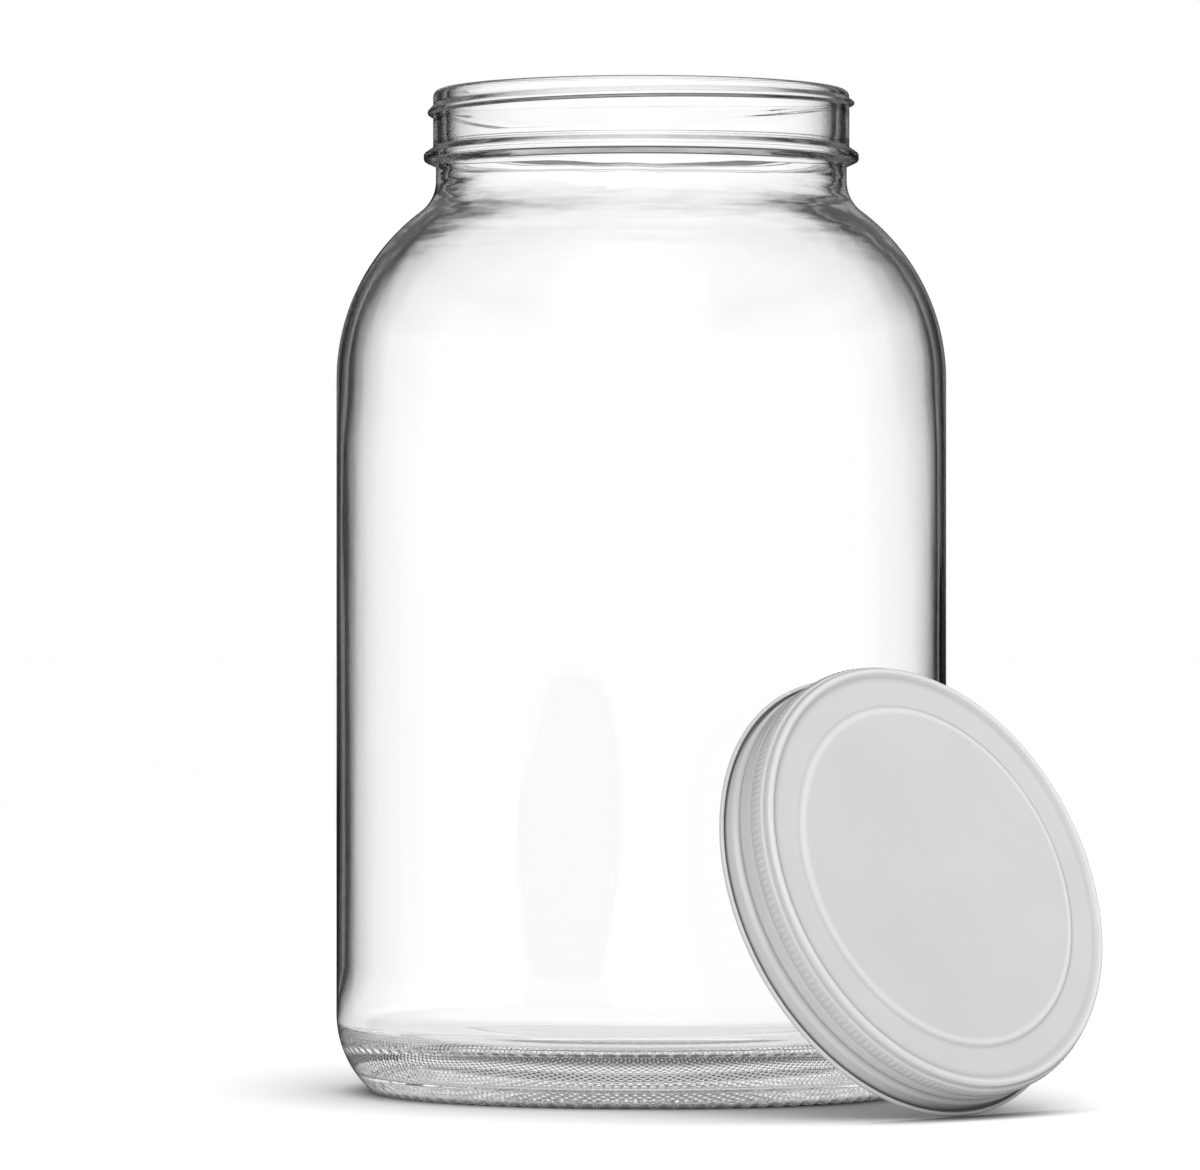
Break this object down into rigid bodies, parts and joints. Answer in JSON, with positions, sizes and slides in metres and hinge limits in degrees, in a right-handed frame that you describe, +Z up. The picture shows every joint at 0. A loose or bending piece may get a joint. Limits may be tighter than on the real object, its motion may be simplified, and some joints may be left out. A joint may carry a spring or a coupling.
{
  "type": "fermentation jar",
  "caption": "Clear glass wide-mouth jar with a rounded shoulder and a screw-thread neck, its white metal screw lid leaning open against the wall.",
  "frame": {"origin": "centre of the jar's base on the table that it stands on", "axes": "+Z up along the jar's axis and out of its mouth; the lid leans towards the jar from the +X side, so the lean lies in the XZ plane, and +Y completes a right-handed frame"},
  "size_m": [0.2126, 0.156, 0.256],
  "materials": {
    "flint_glass": "gloss",
    "white_lacquer": "satin",
    "liner_foam": "matte"
  },
  "bodies": {
    "jar": {"glass_jar": "flint_glass"},
    "liner": {"lid_liner": "liner_foam"},
    "lid": {"lid_shell": "white_lacquer"}
  },
  "joints": [
    {"name": "lid_pull", "type": "slide", "parent": "jar", "child": "liner", "axis": [0.9252, 0, 0.3795], "range_m": [0, 0.08]},
    {"name": "lid_turn", "type": "hinge", "parent": "liner", "child": "lid", "pos_m": [0.09955, -0.008, 0.05251], "axis": [0.9252, 0, 0.3795], "continuous": true}
  ]
}
